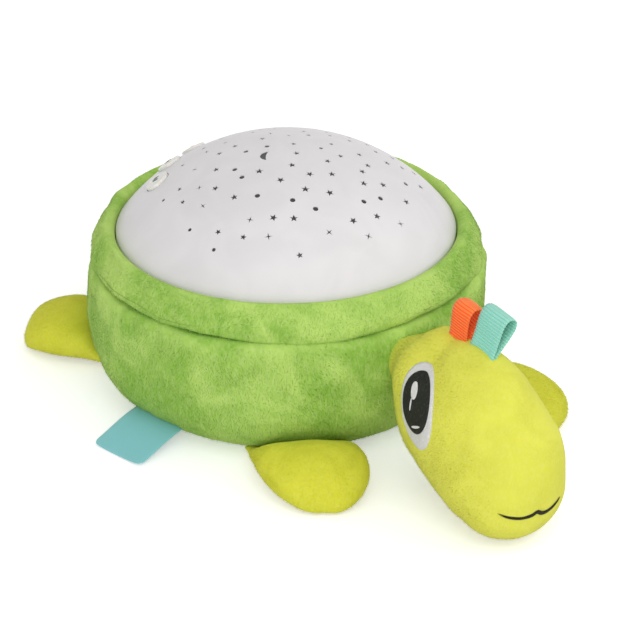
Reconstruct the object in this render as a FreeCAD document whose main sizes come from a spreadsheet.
"""Star night light projector: a plush turtle around a white dome with star-shaped openings.

The model stands on its underside at z = 0. Its head points to -Y and the turtle's right side is -X.
All lengths are millimetres.
"""

import FreeCAD, Part
import math
import os

from FreeCAD import Placement, Rotation, Vector
import Sketcher

DIMENSIONS = {
    "dome_rim_radius": 82.5,
    "dome_rim_height": 78.0,
    "dome_rise": 41.0,
    "dome_wall": 2.2,
    "dome_skirt_height": 6.0,
    "button_circle_radius": 62.0,
    "button_radius": 6.2,
    "button_gap": 0.25,
    "post_offset": 9.6,
    "aperture_field_radius": 67.0,
    "star_radius": 1.95,
    "moon_radius": 3.5,
    "liner_wall": 1.0,
    "liner_gap": 0.3,
    "tub_wall": 2.6,
    "tub_floor_height": 3.0,
    "tub_floor": 3.0,
    "tub_foot_radius": 62.0,
    "tub_mouth_radius": 70.0,
    "flange": 2.5,
    "bay_width": 34.0,
    "bay_length": 51.0,
    "bay_height": 13.0,
    "tray_wall": 1.6,
    "cell_radius": 5.25,
    "cell_length": 44.5,
    "cell_pitch": 11.2,
    "door_width": 45.2,
    "door_length": 72.0,
    "door_thickness": 1.6,
    "door_gap": 0.4,
    "hinge_inset": 1.0,
    "hinge_pin_radius": 1.0,
    "screw_shank_radius": 1.5,
    "screw_head_radius": 2.8,
    "board_height": 24.0,
    "board_thickness": 1.6,
    "shell_radius": 97.8,
    "shell_waist_height": 38.0,
    "shell_foot_radius": 80.0,
    "shell_corner_radius": 36.0,
    "shell_side_radius": 70.0,
    "seam_radius": 95.5,
    "seam_height": 65.0,
    "band_crest_radius": 87.5,
    "band_crest_height": 81.0,
    "skin": 3.0,
    "underside_hole_radius": 44.0,
    "neck_reach": 101.0,
    "neck_height": 49.0,
    "neck_radius": 10.0,
    "flipper_height": 21.5,
    "flipper_root_reach": 88.0,
    "front_flipper_half_width": 26.5,
    "rear_flipper_half_width": 22.5,
    "front_right_flipper_reach": 138.5,
    "front_left_flipper_reach": 147.5,
    "rear_flipper_reach": 138.5,
    "ribbon_thickness": 0.8,
    "ribbon_half_width": 3.6,
    "ribbon_hinge_lift": 0.8,
    "label_root_reach": 87.2,
    "label_root_height": 3.9,
    "label_width": 31.0,
    "label_length": 30.0,
    "label_thickness": 0.9,
}

# Turns about the shell's axis, from the head's side.
FLIPPERS = {
    "front_right_flipper": (-29.0, "front_right_flipper_reach", "front_flipper_half_width", 9.0),
    "front_left_flipper": (29.0, "front_left_flipper_reach", "front_flipper_half_width", 0.0),
    "rear_right_flipper": (-134.0, "rear_flipper_reach", "rear_flipper_half_width", 0.0),
    "rear_left_flipper": (134.0, "rear_flipper_reach", "rear_flipper_half_width", 0.0),
}
# Share of a flipper's length, of its height and of its half-width at each station.
FLIPPER_STATIONS = (
    (0.00, 0.20, 0.92),
    (0.10, 0.35, 0.96),
    (0.18, 0.56, 0.98),
    (0.24, 0.71, 0.99),
    (0.32, 0.85, 1.00),
    (0.46, 1.00, 1.00),
    (0.63, 0.99, 0.95),
    (0.78, 0.87, 0.84),
    (0.89, 0.68, 0.66),
    (0.96, 0.46, 0.44),
    (1.00, 0.22, 0.20),
)
LABEL_ANGLE = 77.6
LABEL_SKEW = 2.6
RIBBON_SWING = 25.0
BUTTON_ANGLES = (14.0, 33.0, 52.0)
APERTURE_COUNT = 104
MOON_NUMBER = 4

# Key stations of the plush head: reach from the shell's axis, height, half height, half width.
HEAD_KEYS = (
    (113.5, 49.5, 18.0, 14.0),
    (125.0, 51.0, 22.3, 22.0),
    (137.0, 40.3, 30.8, 26.0),
    (150.0, 39.0, 36.0, 27.8),
    (164.5, 31.5, 33.0, 28.5),
    (174.0, 22.2, 23.0, 26.0),
)
HEAD_RIDGE = 6.0
HEAD_STATIONS = (105, 108, 112, 118, 126, 135, 144, 153, 163, 173, 181, 187.5, 192.5, 195.4, 196.9)


class Size(float):
    """A length that remembers the sheet expression it was worked out from."""

    def __new__(cls, value, text):
        size = super().__new__(cls, value)
        size.text = text
        return size

    def __add__(self, other):
        return Size(float(self) + float(other), f"({formula(self)} + {formula(other)})")

    def __radd__(self, other):
        return Size(float(other) + float(self), f"({formula(other)} + {formula(self)})")

    def __sub__(self, other):
        return Size(float(self) - float(other), f"({formula(self)} - {formula(other)})")

    def __rsub__(self, other):
        return Size(float(other) - float(self), f"({formula(other)} - {formula(self)})")

    def __mul__(self, other):
        return Size(float(self) * float(other), f"({formula(self)} * {formula(other)})")

    def __rmul__(self, other):
        return Size(float(other) * float(self), f"({formula(other)} * {formula(self)})")

    def __truediv__(self, other):
        return Size(float(self) / float(other), f"({formula(self)} / {formula(other)})")

    def __neg__(self):
        return Size(-float(self), f"(-1 * {formula(self)})")


def formula(value):
    """The expression for a length: its own, or the plain number."""
    return value.text if isinstance(value, Size) else repr(float(value))


def root(value):
    """The square root of a length squared."""
    return Size(math.sqrt(float(value)), f"sqrt({formula(value)})")


doc = FreeCAD.newDocument("StarNightLight")
sheet = doc.addObject("Spreadsheet::Sheet", "Sizes")
for row, (alias, number) in enumerate(DIMENSIONS.items(), start=1):
    sheet.set(f"A{row}", alias)
    sheet.set(f"B{row}", str(number))
    sheet.setAlias(f"B{row}", alias)
doc.recompute()


def size(alias):
    """A driving dimension, as a number with its sheet expression."""
    return Size(sheet.get(alias), f"Sizes.{alias}")


nodes = {}


def keep(name, made):
    """Name a sub-part and put it on the list of those that are written out."""
    made.Label = name
    nodes[name] = made
    return made


def bind(made, property_name, value):
    """Set a property from a length and tie it to the sheet."""
    setattr(made, property_name, float(value))
    if isinstance(value, Size):
        made.setExpression(property_name, value.text)


def new_body(name):
    """Start an empty solid body."""
    return doc.addObject("PartDesign::Body", "".join(word.title() for word in name.split("_")))


def new_sketch(body, plane, height=0.0):
    """Put a sketch on one of a body's own origin planes, raised along its normal."""
    sketch = body.newObject("Sketcher::SketchObject", "Outline")
    origin_plane = next(item for item in body.Origin.OriginFeatures if item.Role == plane)
    sketch.AttachmentSupport = (origin_plane, [""])
    sketch.MapMode = "FlatFace"
    sketch.AttachmentOffset = Placement(Vector(0, 0, float(height)), Rotation())
    if isinstance(height, Size):
        sketch.setExpression("AttachmentOffset.Base.z", height.text)
    return sketch


def hold(sketch, kind, geometry, position, value):
    """Fix one coordinate of a sketch point to a length."""
    if abs(float(value)) < 1e-9:
        axis = -2 if kind == "DistanceX" else -1
        sketch.addConstraint(Sketcher.Constraint("PointOnObject", geometry, position, axis))
        return
    index = sketch.addConstraint(Sketcher.Constraint(kind, -1, 1, geometry, position, float(value)))
    if isinstance(value, Size):
        sketch.setExpression(f"Constraints[{index}]", value.text)


def crown_radius(start, end):
    """Signed radius of the arc between two points whose centre lies on the upright axis."""
    height = (end.x ** 2 + end.y ** 2 - start.x ** 2 - start.y ** 2) / (2 * (end.y - start.y))
    radius = math.hypot(start.x, start.y - height)
    return radius if start.x > end.x else -radius


def arc_through(start, end, radius):
    """The short arc between two points; a positive radius turns left, a negative one right."""
    chord = end - start
    middle = (start + end) * 0.5
    left = Vector(-chord.y, chord.x, 0).normalize()
    reach = math.sqrt(max(radius * radius - chord.Length ** 2 / 4, 0))
    centre = middle + left * math.copysign(reach, radius)
    first, last = (start, end) if radius > 0 else (end, start)
    angles = [math.atan2(point.y - centre.y, point.x - centre.x) for point in (first, last)]
    return Part.ArcOfCircle(Part.Circle(centre, Vector(0, 0, 1), abs(radius)), *angles)


def add_loop(sketch, corners):
    """Draw a closed loop; a corner's third value is the radius of the arc that leaves it.

    The word "crown" there centres the arc on the upright axis, so that it turns into a sphere.
    """
    points = [Vector(float(corner[0]), float(corner[1]), 0) for corner in corners]
    ends = []
    for number, corner in enumerate(corners):
        start = points[number]
        end = points[(number + 1) % len(points)]
        if len(corner) == 3:
            radius = crown_radius(start, end) if corner[2] == "crown" else float(corner[2])
            index = sketch.addGeometry(arc_through(start, end, radius), False)
            ends.append((index, 1, 2) if radius > 0 else (index, 2, 1))
        else:
            index = sketch.addGeometry(Part.LineSegment(start, end), False)
            ends.append((index, 1, 2))
    for number, (index, first, last) in enumerate(ends):
        following = ends[(number + 1) % len(ends)]
        sketch.addConstraint(Sketcher.Constraint("Coincident", index, last, following[0], following[1]))
    for corner, (index, first, last) in zip(corners, ends):
        hold(sketch, "DistanceX", index, first, corner[0])
        hold(sketch, "DistanceY", index, first, corner[1])
        if len(corner) == 3 and corner[2] == "crown":
            sketch.addConstraint(Sketcher.Constraint("PointOnObject", index, 3, -2))
        elif len(corner) == 3:
            radius = corner[2] if float(corner[2]) > 0 else -corner[2]
            held = sketch.addConstraint(Sketcher.Constraint("Radius", index, float(radius)))
            if isinstance(radius, Size):
                sketch.setExpression(f"Constraints[{held}]", radius.text)


def add_circle(sketch, across, along, radius):
    """Draw a circle held by its centre and radius."""
    centre = Vector(float(across), float(along), 0)
    index = sketch.addGeometry(Part.Circle(centre, Vector(0, 0, 1), float(radius)), False)
    hold(sketch, "DistanceX", index, 3, across)
    hold(sketch, "DistanceY", index, 3, along)
    held = sketch.addConstraint(Sketcher.Constraint("Radius", index, float(radius)))
    if isinstance(radius, Size):
        sketch.setExpression(f"Constraints[{held}]", radius.text)


def rectangle(width, length):
    """Corners of a rectangle about the sketch's origin."""
    return [(-width / 2, -length / 2), (width / 2, -length / 2), (width / 2, length / 2), (-width / 2, length / 2)]


def add_feature(body, kind, sketch):
    """Add a feature made from a sketch."""
    feature = body.newObject(f"PartDesign::{kind}", kind)
    feature.Profile = sketch
    sketch.Visibility = False
    return feature


def revolve(body, corners, kind="Revolution"):
    """Turn an outline in the XZ plane about the body's upright axis."""
    sketch = new_sketch(body, "XZ_Plane")
    add_loop(sketch, corners)
    feature = add_feature(body, kind, sketch)
    feature.ReferenceAxis = (sketch, ["V_Axis"])
    feature.Angle = 360
    return feature


def pad(body, sketch, length, midplane=False):
    """Raise a sketch along its normal."""
    feature = add_feature(body, "Pad", sketch)
    bind(feature, "Length", length)
    if midplane:
        feature.Midplane = True
    return feature


def pocket(body, sketch, length):
    """Cut a sketch upwards, along its plane's normal."""
    feature = add_feature(body, "Pocket", sketch)
    bind(feature, "Length", length)
    feature.Reversed = True
    return feature


def pattern_round(body, feature, count):
    """Repeat a feature evenly around the body's upright axis."""
    pattern = body.newObject("PartDesign::PolarPattern", "Pattern")
    pattern.Originals = [feature]
    axis = next(item for item in body.Origin.OriginFeatures if item.Role == "Z_Axis")
    pattern.Axis = (axis, [""])
    pattern.Angle = 360
    pattern.Occurrences = count
    body.Tip = pattern
    return pattern


def solid_feature(name, shape):
    """Keep a shape made by Part's own functions."""
    made = doc.addObject("Part::Feature", "".join(word.title() for word in name.split("_")))
    made.Shape = shape
    return keep(name, made)


def around_axis(angle_from_tail):
    """Placement that turns the +Y side of a part towards its right, about the shell's axis."""
    return Placement(Vector(0, 0, 0), Rotation(Vector(0, 0, 1), angle_from_tail))


def cap_radius():
    """Radius of the dome's sphere, from its rim and its rise."""
    rise = size("dome_rise")
    return (size("dome_rim_radius") * size("dome_rim_radius") + rise * rise) / (rise * 2)


def cap_centre_height():
    """Height of the centre of the dome's sphere."""
    return size("dome_rim_height") + size("dome_rise") - cap_radius()


def on_dome(radius, angle):
    """Placement on the dome's outer face: local Z is the outward normal, local X runs downhill."""
    tilt = math.asin(radius / cap_radius())
    turn = math.radians(angle)
    outwards = Vector(math.sin(tilt) * math.cos(turn), math.sin(tilt) * math.sin(turn), math.cos(tilt))
    spot = Vector(0, 0, float(cap_centre_height())) + outwards * float(cap_radius())
    turned = Rotation(Vector(0, 0, 1), angle) * Rotation(Vector(0, 1, 0), math.degrees(tilt))
    return Placement(spot, turned)


def button_spots():
    """The three places along the dome's tail-side edge that carry a button."""
    return [on_dome(size("button_circle_radius"), 90 + angle) for angle in BUTTON_ANGLES]


def sphere_height(radius, reach):
    """Height on a sphere about the dome's centre, at a distance from the shell's axis."""
    return cap_centre_height() + root(radius * radius - reach * reach)


def star_prism(radius, points, waist, depth):
    """A star-shaped prism through a wall, centred on the XY plane."""
    corners = []
    for step in range(points * 2):
        reach = radius if step % 2 == 0 else radius * waist
        turn = math.pi * step / points
        corners.append(Vector(reach * math.cos(turn), reach * math.sin(turn), -depth))
    corners.append(corners[0])
    return Part.Face(Part.makePolygon(corners)).extrude(Vector(0, 0, 2 * depth))


def crescent_prism(radius, depth):
    """A crescent moon through a wall: a disc less a second one set to its side."""
    disc = Part.makeCylinder(radius, 2 * depth, Vector(0, 0, -depth))
    bite = Part.makeCylinder(radius * 0.82, 3 * depth, Vector(radius * 0.5, 0, -1.5 * depth))
    return disc.cut(bite)


def aperture_spots():
    """Spread the openings over the dome: turn by the golden angle, a little uneven, clear of the buttons."""
    spots = []
    golden_angle = 180 * (3 - math.sqrt(5))
    clearance = float(size("post_offset")) + 3.6
    buttons = [spot.Base for spot in button_spots()]
    for number in range(APERTURE_COUNT):
        reach = math.sqrt((number + 0.5) / APERTURE_COUNT) * float(size("aperture_field_radius"))
        reach += 1.8 * math.sin(2.7 * number)
        spot = on_dome(abs(reach), number * golden_angle + 5 * math.sin(1.9 * number))
        if min(spot.Base.distanceToPoint(button) for button in buttons) > clearance:
            spots.append((number, spot))
    return spots


def make_apertures():
    """Star, sparkle and dot openings of several sizes, and one crescent moon near the top."""
    depth = 6.0
    star, dot, sparkle = (5, 0.44, 1.0), (3, 1.0, 0.6), (4, 0.22, 1.1)
    mix = (star, dot, star, sparkle, star, dot, star, star)
    cutters = []
    for number, spot in aperture_spots():
        radius = float(size("star_radius")) * (0.72 + 0.28 * math.sin(5.1 * number) ** 2)
        points, waist, share = mix[number % len(mix)]
        if number == MOON_NUMBER:
            cutter = crescent_prism(float(size("moon_radius")), depth)
        else:
            cutter = star_prism(radius * share, points, waist, depth)
        turned = Placement(Vector(), Rotation(Vector(0, 0, 1), 47.0 * number))
        cutter.Placement = spot.multiply(turned)
        cutters.append(cutter)
    return cutters


def make_dome():
    """Dome moulding: a spherical cap with skirt, screw bosses, switch posts and its openings."""
    blank = new_body("dome_blank")
    wall = size("dome_wall")
    rim = size("dome_rim_radius")
    inner = cap_radius() - wall
    skirt = size("dome_rim_height") - size("dome_skirt_height")
    apex = size("dome_rim_height") + size("dome_rise")
    revolve(blank, [
        (0, apex, "crown"),
        (rim, size("dome_rim_height")),
        (rim, skirt),
        (rim - wall, skirt),
        (rim - wall, sphere_height(inner, rim - wall), "crown"),
        (0, apex - wall),
    ])
    boss_sketch = new_sketch(blank, "XY_Plane", skirt)
    add_circle(boss_sketch, 76, 0, 3.2)
    add_circle(boss_sketch, 76, 0, size("screw_shank_radius"))
    boss = pad(blank, boss_sketch, 10)
    pattern_round(blank, boss, 6)
    doc.recompute()

    posts = []
    for spot in button_spots():
        for side in (-1, 1):
            post = Part.makeCylinder(1.5, 9.2, Vector(side * float(size("post_offset")), 0, -11.0))
            post.Placement = spot
            posts.append(post)
    cutters = make_apertures()
    for spot in button_spots():
        hole = Part.makeCylinder(float(size("button_radius") + size("button_gap")), 12, Vector(0, 0, -6))
        hole.Placement = spot
        cutters.append(hole)
    whole = blank.Shape.fuse(posts)
    solid_feature("star_dome", whole.cut(cutters))


def make_dome_liner():
    """Smoked inner cap that closes the openings from behind, cut away round the buttons."""
    body = new_body("liner_blank")
    outer = cap_radius() - size("dome_wall") - size("liner_gap")
    inner = outer - size("liner_wall")
    edge = 66.0
    revolve(body, [
        (0, cap_centre_height() + outer, "crown"),
        (edge, sphere_height(outer, Size(edge, "66.0"))),
        (edge, sphere_height(inner, Size(edge, "66.0")), "crown"),
        (0, cap_centre_height() + inner),
    ])
    doc.recompute()
    clearances = []
    for spot in button_spots():
        room = Part.makeBox(32, 23, 16, Vector(-13, -11.5, -13))
        room.Placement = spot
        clearances.append(room)
    solid_feature("dome_liner", body.Shape.cut(clearances))


def make_buttons():
    """Three push buttons: a crowned cap, a retaining collar and a stem."""
    radius = size("button_radius")
    for name, spot in zip(("tail_button", "middle_button", "side_button"), button_spots()):
        body = new_body(name)
        revolve(body, [
            (0, 2.6, "crown"),
            (radius - 0.8, 1.9, -0.8),
            (radius, 1.1),
            (radius, -2.9),
            (radius + 1.4, -2.9),
            (radius + 1.4, -3.9),
            (2, -3.9),
            (2, -6.5),
            (0, -6.5),
        ])
        body.Placement = spot
        keep(name, body)


def make_switches():
    """A small board behind each button, held by two posts, and the tact switch on it."""
    boards = []
    switches = []
    for spot in button_spots():
        board = Part.makeBox(23, 12, 1.4, Vector(-11.5, -6, -12.4))
        board.Placement = spot
        boards.append(board)
        case = Part.makeBox(6, 6, 2.0, Vector(-3, -3, -11.0))
        plunger = Part.makeCylinder(1.7, 1.0, Vector(0, 0, -9.0))
        switch = case.fuse(plunger)
        switch.Placement = spot
        switches.append(switch)
    solid_feature("switch_boards", Part.makeCompound(boards))
    solid_feature("tact_switches", Part.makeCompound(switches))


def make_tub():
    """Housing tub: tapered wall, top flange under the dome, board posts and the battery opening."""
    body = new_body("housing_tub")
    floor = size("tub_floor_height")
    floor_top = floor + size("tub_floor")
    wall = size("tub_wall")
    foot = size("tub_foot_radius")
    mouth = size("tub_mouth_radius")
    top = size("dome_rim_height") - size("dome_skirt_height")
    revolve(body, [
        (0, floor),
        (foot - 4, floor, 4),
        (foot, floor + 4),
        (mouth, top - size("flange")),
        (size("dome_rim_radius"), top - size("flange")),
        (size("dome_rim_radius"), top),
        (mouth - wall, top),
        (foot - wall, floor_top),
        (0, floor_top),
    ])
    posts = new_sketch(body, "XY_Plane", floor_top)
    for across in (-30, 30):
        for along in (-22, 22):
            add_circle(posts, across, along, 3.0)
            add_circle(posts, across, along, 1.1)
    pad(body, posts, size("board_height") - floor_top)
    boss = new_sketch(body, "XY_Plane", floor_top)
    add_circle(boss, 0, -size("door_length") / 2 + 3.6, 4.4)
    pad(body, boss, 7)
    opening = new_sketch(body, "XY_Plane", floor)
    add_loop(opening, rectangle(size("bay_width"), size("bay_length")))
    pocket(body, opening, size("tub_floor"))
    recess = new_sketch(body, "XY_Plane", floor)
    gap = size("door_gap") * 2
    add_loop(recess, rectangle(size("door_width") + gap, size("door_length") + gap))
    pocket(body, recess, size("door_thickness") + 0.2)
    sockets = new_sketch(body, "XY_Plane", floor)
    hinge_line = size("door_length") / 2 - size("hinge_inset")
    for side in (-1, 1):
        middle = (size("door_width") / 2 + 1.5) * side
        add_loop(sockets, [
            (middle - 1.5, hinge_line - 1.4),
            (middle + 1.5, hinge_line - 1.4),
            (middle + 1.5, hinge_line + 1.4),
            (middle - 1.5, hinge_line + 1.4),
        ])
    pocket(body, sockets, 2.4)
    groove = new_sketch(body, "XY_Plane", floor)
    half = size("door_width") / 2 + size("door_gap")
    end = size("door_length") / 2 + size("door_gap")
    add_loop(groove, [(-half, hinge_line - 1.4), (half, hinge_line - 1.4), (half, end), (-half, end)])
    pocket(body, groove, size("door_thickness") + 0.75)
    tapped = new_sketch(body, "XY_Plane", floor)
    add_circle(tapped, 0, -size("door_length") / 2 + 3.6, size("screw_shank_radius") + 0.7)
    pocket(body, tapped, 9.5)
    holes = new_sketch(body, "XY_Plane", top - size("flange"))
    add_circle(holes, 76, 0, size("screw_shank_radius") + 0.2)
    hole = pocket(body, holes, size("flange"))
    pattern_round(body, hole, 6)
    keep("housing_tub", body)


def make_battery_bay():
    """Battery tray over the opening, its three cells side by side and their leaf contacts."""
    floor_top = size("tub_floor_height") + size("tub_floor")
    wall = size("tray_wall")
    body = new_body("battery_tray")
    outside = new_sketch(body, "XY_Plane", floor_top)
    add_loop(outside, rectangle(size("bay_width") + wall * 2, size("bay_length") + wall * 2))
    pad(body, outside, size("bay_height"))
    inside = new_sketch(body, "XY_Plane", floor_top)
    add_loop(inside, rectangle(size("bay_width"), size("bay_length")))
    pocket(body, inside, size("bay_height") - wall)
    keep("battery_tray", body)

    cells = []
    contacts = []
    radius = float(size("cell_radius"))
    length = float(size("cell_length"))
    half_bay = float(size("bay_length")) / 2
    middle = float(floor_top) + radius + 0.4
    for number, side in enumerate((-1, 0, 1)):
        across = side * float(size("cell_pitch"))
        heading = 1 if number % 2 == 0 else -1
        can = Part.makeCylinder(radius, length - 1, Vector(across, -heading * length / 2, middle), Vector(0, heading, 0))
        nub = Part.makeCylinder(1.9, 1.0, Vector(across, heading * (length / 2 - 1), middle), Vector(0, heading, 0))
        cells.append(can.fuse(nub).removeSplitter())
        plate = Part.makeBox(8, 0.4, 8, Vector(across - 4, -0.2, middle - 4))
        plate.translate(Vector(0, heading * (half_bay - 0.3), 0))
        contacts.append(plate)
        leaf = Part.makePolygon([
            Vector(across - 3, -heading * (half_bay - 0.1), middle + 4),
            Vector(across - 3, -heading * (half_bay - 2.9), middle),
            Vector(across - 3, -heading * (half_bay - 0.1), middle - 4),
            Vector(across - 3, -heading * (half_bay - 0.5), middle - 4),
            Vector(across - 3, -heading * (half_bay - 3.2), middle),
            Vector(across - 3, -heading * (half_bay - 0.5), middle + 4),
            Vector(across - 3, -heading * (half_bay - 0.1), middle + 4),
        ])
        contacts.append(Part.Face(leaf).extrude(Vector(6, 0, 0)))
    solid_feature("battery_cells", Part.makeCompound(cells))
    solid_feature("battery_contacts", Part.makeCompound(contacts))


def make_battery_door():
    """Hinged battery door with two snap-in pins, finger ribs and the captive screw."""
    body = new_body("battery_door")
    under = size("tub_floor_height") + 0.1
    plate = new_sketch(body, "XY_Plane", under)
    add_loop(plate, rectangle(size("door_width"), size("door_length")))
    pad(body, plate, size("door_thickness"))
    rib = new_sketch(body, "XY_Plane", under)
    for number in range(3):
        along = -size("door_length") / 2 + 9 + 2.4 * number
        add_loop(rib, [(-8, along), (8, along), (8, along + 1.2), (-8, along + 1.2)])
    pad(body, rib, 0.8).Reversed = True
    pins = new_sketch(body, "YZ_Plane")
    add_circle(pins, size("door_length") / 2 - size("hinge_inset"), under + size("door_thickness") / 2, size("hinge_pin_radius") - 0.2)
    pad(body, pins, size("door_width") + 4.4, midplane=True)
    bore = new_sketch(body, "XY_Plane", under)
    add_circle(bore, 0, -size("door_length") / 2 + 3.6, size("screw_shank_radius") + 0.05)
    pocket(body, bore, size("door_thickness"))
    keep("battery_door", body)

    screw = new_body("battery_screw")
    head = size("screw_head_radius")
    shank = size("screw_shank_radius")
    revolve(screw, [
        (0, -1.5),
        (head - 0.8, -1.5, 0.8),
        (head, -0.7),
        (head, -0.05),
        (shank, -0.05),
        (shank, 6.6),
        (shank - 0.7, 7.6),
        (0, 7.6),
    ])
    slot = new_sketch(screw, "XY_Plane", -1.6)
    add_loop(slot, rectangle(Size(0.7, "0.7"), Size(3.6, "3.6")))
    cross_slot = new_sketch(screw, "XY_Plane", -1.6)
    add_loop(cross_slot, rectangle(Size(3.6, "3.6"), Size(0.7, "0.7")))
    pocket(screw, slot, 0.9)
    pocket(screw, cross_slot, 0.9)
    screw.Placement = Placement(Vector(0, -float(size("door_length")) / 2 + 3.6, float(under)), Rotation())
    keep("battery_screw", screw)


def make_case_screws():
    """Six screws that pull the dome down onto the tub's flange, from below."""
    top = float(size("dome_rim_height") - size("dome_skirt_height") - size("flange"))
    shank = float(size("screw_shank_radius")) - 0.05
    screws = []
    for number in range(6):
        head = Part.makeCylinder(2.8, 1.8, Vector(76, 0, top - 1.8))
        stem = Part.makeCylinder(shank, 9.6, Vector(76, 0, top))
        screw = head.fuse(stem)
        screw.Placement = around_axis(60.0 * number)
        screws.append(screw)
    solid_feature("case_screws", Part.makeCompound(screws))


def make_board():
    """Main board on its four posts, with its screws, controller chip and timer capacitor."""
    body = new_body("main_board")
    board = new_sketch(body, "XY_Plane", size("board_height"))
    add_loop(board, rectangle(Size(72, "72"), Size(56, "56")))
    for across in (-30, 30):
        for along in (-22, 22):
            add_circle(board, across, along, 1.6)
    pad(body, board, size("board_thickness"))
    keep("main_board", body)

    top = float(size("board_height") + size("board_thickness"))
    screws = []
    for across in (-30, 30):
        for along in (-22, 22):
            head = Part.makeCylinder(2.4, 1.6, Vector(across, along, top))
            stem = Part.makeCylinder(1.05, 8.0, Vector(across, along, top - 8.0))
            screws.append(head.fuse(stem))
    solid_feature("board_screws", Part.makeCompound(screws))
    chip = Part.makeBox(6, 10, 1.8, Vector(20, -16, top))
    solid_feature("control_chip", chip)
    solid_feature("timer_capacitor", Part.makeCylinder(3.1, 7.5, Vector(-24, -8, top)))


def make_lamps():
    """Three round-nosed lamps at the middle of the board, inside a black collar."""
    top = float(size("board_height") + size("board_thickness"))
    for number, name in enumerate(("blue_lamp", "green_lamp", "amber_lamp")):
        turn = math.radians(90 + 120 * number)
        body = new_body(name)
        revolve(body, [
            (0, 8.6, "crown"),
            (2.5, 6.1),
            (2.5, 1.0),
            (2.9, 1.0),
            (2.9, 0),
            (0, 0),
        ])
        body.Placement = Placement(Vector(5.4 * math.cos(turn), 5.4 * math.sin(turn), top), Rotation())
        keep(name, body)
    collar = new_body("lamp_collar")
    revolve(collar, [(9.6, top), (11.2, top), (11.2, top + 7.4), (9.6, top + 7.4)])
    keep("lamp_collar", collar)


def make_baffle():
    """Black light funnel from the lamps' collar up to the dome's mouth."""
    body = new_body("light_baffle")
    lip = size("dome_rim_height") - size("dome_skirt_height")
    mouth = size("tub_mouth_radius") - size("tub_wall") - 1.2
    revolve(body, [
        (12.4, 33.2),
        (13.6, 33.2),
        (mouth, lip),
        (71.6, lip),
        (71.6, lip + 1.2),
        (mouth - 0.6, lip + 1.2),
        (12.4, 34.6),
    ])
    keep("light_baffle", body)


def make_shell_plush():
    """The shell's fabric in three panels over one ring of stuffing."""
    skin = size("skin")
    waist = size("shell_radius")
    waist_height = size("shell_waist_height")
    foot = size("shell_foot_radius")
    corner = size("shell_corner_radius")
    side = size("shell_side_radius")
    seam = size("seam_radius")
    seam_height = size("seam_height")
    panel = new_body("shell_side_panel")
    revolve(panel, [
        (foot, 0, corner),
        (waist, waist_height, side),
        (seam, seam_height - 0.4),
        (seam - skin, seam_height - 0.4, -side),
        (waist - skin, waist_height, -(corner - skin)),
        (foot, skin),
    ])
    keep("shell_side_panel", panel)

    base = new_body("shell_base_panel")
    hole = size("underside_hole_radius")
    revolve(base, [(hole, 0), (foot - 0.2, 0), (foot - 0.2, skin - 0.4), (hole, skin - 0.4)])
    keep("shell_base_panel", base)

    band = new_body("shell_top_band")
    rim = size("dome_rim_radius") + 0.5
    crest = size("band_crest_radius")
    crest_height = size("band_crest_height")
    revolve(band, [
        (rim, 71.5),
        (seam - skin - 2, seam_height),
        (seam, seam_height, 14),
        (crest, crest_height, 6),
        (rim, crest_height - 2.2),
    ])
    keep("shell_top_band", band)

    stuffing = new_body("shell_stuffing")
    inner_foot = size("tub_foot_radius") + 0.6
    inner_mouth = size("tub_mouth_radius") + 0.6
    top = size("dome_rim_height") - size("dome_skirt_height") - size("flange") - 2.6
    revolve(stuffing, [
        (inner_foot, skin + 0.2),
        (foot, skin + 0.2, corner - skin),
        (waist - skin - 0.3, waist_height, side),
        (seam - skin - 0.3, seam_height - 1.4),
        (inner_mouth, top),
        (inner_foot, size("tub_floor_height") + 6),
    ])
    keep("shell_stuffing", stuffing)


def oval_ring(reach, across, height, half_width, half_height, count, ridge=0.0):
    """A smooth upright oval at a reach from the shell's axis, with a rounded ridge along its top."""
    points = []
    for step in range(count):
        turn = 2 * math.pi * step / count
        top = height + half_height * math.cos(turn) + ridge * max(math.cos(turn), 0) ** 8
        points.append(Vector(across + half_width * math.sin(turn), -reach, top))
    curve = Part.BSplineCurve()
    curve.interpolate(Points=points, PeriodicFlag=True)
    return Part.Wire(curve.toShape())


def head_section(reach, grow=0.0):
    """Lowest, highest and half-width of the head at a reach, from balls blended between the keys."""
    low, high, half = 1e9, -1e9, 0.0
    for first, second in zip(HEAD_KEYS[:-1], HEAD_KEYS[1:]):
        for step in range(25):
            mix = step / 24
            station, height, tall, wide = (a + (b - a) * mix for a, b in zip(first, second))
            room = 1 - ((reach - station) / tall) ** 2
            if room > 0:
                low = min(low, height - tall * math.sqrt(room))
                high = max(high, height + tall * math.sqrt(room))
                half = max(half, wide * math.sqrt(room))
    return max(low, 0.4) - grow, high + grow, half + grow


def ridge_height(reach):
    """How far the middle seam stands over the head's oval: it fades at the neck and over the snout."""
    rise = min(max((reach - 113) / 20, 0), 1)
    fade = min(max((190 - reach) / 22, 0), 1)
    return HEAD_RIDGE * math.sin(rise * math.pi / 2) * math.sin(fade * math.pi / 2)


def head_solid(grow=0.0):
    """Head form lofted through upright ovals from the neck to the snout; a smaller one is shorter too."""
    middle = (HEAD_STATIONS[0] + HEAD_STATIONS[-1]) / 2
    shorten = 1 + min(grow, 0) / (HEAD_STATIONS[-1] - middle)
    sections = []
    for station in HEAD_STATIONS:
        reach = middle + (station - middle) * shorten
        low, high, half = head_section(reach, grow)
        centre = (low + high) / 2
        tall = (high - low) / 2
        sections.append(oval_ring(reach, 0, centre, half, tall, 16, ridge_height(reach)))
    return Part.makeLoft(sections, True, False)


def neck_ball(grow):
    """Ball about the nodding centre of the neck."""
    centre = Vector(0, -float(size("neck_reach")), float(size("neck_height")))
    return Part.makeSphere(float(size("neck_radius")) + grow, centre)


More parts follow.
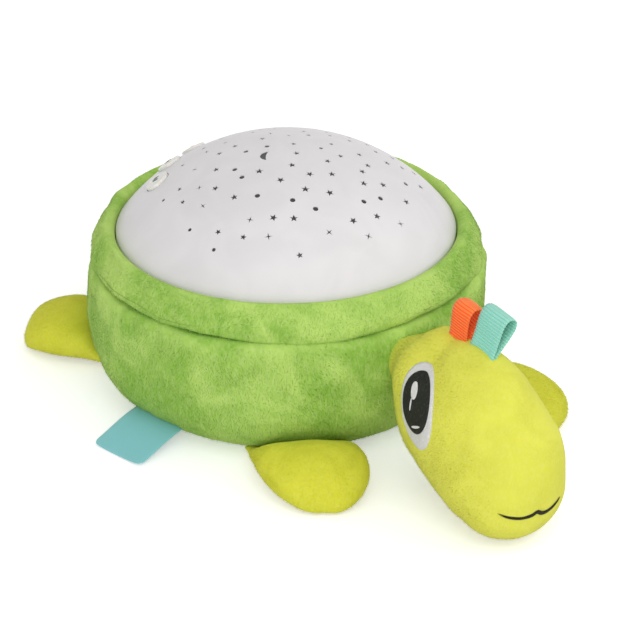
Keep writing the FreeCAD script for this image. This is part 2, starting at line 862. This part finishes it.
def make_head():
    """Head skin over its stuffing, with a hollow at the back that fits the neck."""
    outside = head_solid()
    inside = head_solid(-2.4)
    hollow = neck_ball(0.6)
    solid_feature("head_skin", outside.cut(head_solid(-2.0)).cut(hollow))
    solid_feature("head_stuffing", inside.cut(neck_ball(3.2)))
    clear_of_shell = Part.makeCylinder(float(size("shell_radius")) + 0.8, 120)
    solid_feature("neck", neck_ball(0).cut(clear_of_shell))


def eye_piece(name, side, middle, half_length, half_height, lean, inner, outer):
    """One layer of an embroidered eye: an oval of the head's own face, raised a little."""
    reach, height = middle
    oval = Part.Ellipse(Vector(0, 0, 0), half_height, half_length).toShape()
    face = Part.Face(Part.Wire(oval))
    prism = face.extrude(Vector(0, 0, 40))
    turned = Rotation(Vector(0, 1, 0), 90) * Rotation(Vector(0, 0, 1), lean)
    prism.Placement = Placement(Vector(0, 0, 0), turned)
    if side < 0:
        prism = prism.mirror(Vector(0, 0, 0), Vector(1, 0, 0))
    prism.translate(Vector(8 * side, -reach, height))
    layer = head_solid(outer).cut(head_solid(inner))
    solid_feature(name, layer.common(prism))


def make_eyes():
    """Embroidered eyes on both sides of the head: a white oval and a dark pupil on it."""
    for word, side in (("right", -1), ("left", 1)):
        eye_piece(f"{word}_eye_white", side, (138.6, 52.2), 12.0, 18.1, 31, 0.15, 0.75)
        eye_piece(f"{word}_eye_pupil", side, (138.0, 54.0), 9.9, 12.8, 33, 0.85, 1.35)


def make_flipper(name, angle, reach, half_width, sweep):
    """A stuffed flipper that leaves the shell's lower edge and lies on the floor.

    Its tip stands off to the head's side by the sweep.
    """
    start = float(size("flipper_root_reach"))
    sections = []
    for part, high, wide in FLIPPER_STATIONS:
        tall = high * float(size("flipper_height")) / 2
        across = -math.copysign(sweep, angle) * (part - 0.25)
        station = start + part * (float(size(reach)) - start)
        sections.append(oval_ring(station, across, 0.3 + tall, wide * float(size(half_width)), tall, 12))
    flipper = Part.makeLoft(sections, True, False)
    flipper.Placement = around_axis(angle)
    solid_feature(name, flipper)


def make_flippers():
    """Two front flippers and two shorter rear ones."""
    for name, (angle, reach, half_width, sweep) in FLIPPERS.items():
        make_flipper(name, angle, reach, half_width, sweep)


def make_ribbon(name, start, end, height, lean, tilt):
    """A folded ribbon loop that stands in the seam along the top of the head.

    Its foot is cut to the head's curve, and clears it while the loop swings to either side.
    """
    body = new_body(name + "_blank")
    sketch = new_sketch(body, "XZ_Plane")
    thick = size("ribbon_thickness")
    bulge = size("ribbon_half_width")
    depth = 4.0
    add_loop(sketch, [
        (0.9, -depth),
        (0.9, 0.5, -height * 2.5),
        (bulge, height - bulge, bulge + 0.01),
        (0, height, bulge + 0.01),
        (-bulge, height - bulge, -height * 2.5),
        (-0.9, 0.5),
        (-0.9, -depth),
    ])
    inner = bulge - thick
    add_loop(sketch, [
        (0.3, 3.4, -height * 2.5),
        (inner, height - bulge, inner + 0.01),
        (0, height - thick, inner + 0.01),
        (-inner, height - bulge, -height * 2.5),
        (-0.3, 3.4),
    ])
    low = head_section(start)[1] + ridge_height(start)
    high = head_section(end)[1] + ridge_height(end)
    slope = math.degrees(math.atan2(high - low, end - start)) - tilt
    length = (end - start) / math.cos(math.radians(slope))
    pad(body, sketch, length)
    turned = Rotation(Vector(1, 0, 0), -slope) * Rotation(Vector(0, 1, 0), lean)
    body.Placement = Placement(Vector(0, -start, low), turned)
    doc.recompute()
    hinge = Vector(0, -(start + end) / 2, (low + high) / 2 + float(size("ribbon_hinge_lift")))
    run = Vector(0, start - end, high - low)
    loop = body.Shape
    for swing in (0, -RIBBON_SWING, RIBBON_SWING):
        clearance = head_solid(0.1)
        clearance.rotate(hinge, run, swing)
        loop = loop.cut(clearance)
    solid_feature(name, max(loop.Solids, key=lambda solid: solid.Volume))


def make_ribbons():
    """An orange and a turquoise loop, one behind the other, both leaning to the turtle's left."""
    make_ribbon("orange_ribbon", 130.5, 143.5, 17.0, 20, 12)
    make_ribbon("turquoise_ribbon", 145.0, 160.5, 19.0, 27, 0)


def make_label():
    """Satin tab sewn under the shell's lower corner, arching out and down to the floor."""
    body = new_body("side_label")
    sketch = new_sketch(body, "XZ_Plane")
    end = size("label_length")
    thick = size("label_thickness")
    seam = size("label_root_height")
    add_loop(sketch, [(0, seam, -90), (end, 0.3), (end, 0.3 + thick, 90), (0, seam + thick)])
    pad(body, sketch, size("label_width"), midplane=True)
    start = Placement(Vector(float(size("label_root_reach")), 0, 0), Rotation(Vector(0, 0, 1), LABEL_SKEW))
    body.Placement = around_axis(-90.0 - LABEL_ANGLE).multiply(start)
    keep("side_label", body)


def check_document():
    """Stop when any object failed to build or any sub-part isn't a sound solid."""
    for made in doc.Objects:
        states = set(made.State)
        if states & {"Invalid", "Error"}:
            raise RuntimeError(f"{made.Label} did not build: {made.State}")
    for name, made in nodes.items():
        shape = made.Shape
        if shape.isNull() or not shape.isValid() or not shape.Solids:
            raise RuntimeError(f"{name} isn't a sound solid")


def write_parts():
    """Write each sub-part to its own file."""
    os.makedirs("parts", exist_ok=True)
    for name, made in nodes.items():
        made.Shape.exportStep(f"parts/{name}.step")
        box = made.Shape.BoundBox
        print(f"{name}: {len(made.Shape.Solids)} solid(s), {made.Shape.Volume / 1000:.1f} cm3,"
              f" z {box.ZMin:.1f} to {box.ZMax:.1f}")


make_dome()
make_dome_liner()
make_buttons()
make_switches()
make_tub()
make_battery_bay()
make_battery_door()
make_case_screws()
make_board()
make_lamps()
make_baffle()
make_shell_plush()
make_head()
make_eyes()
make_flippers()
make_ribbons()
make_label()
doc.recompute()
check_document()
write_parts()
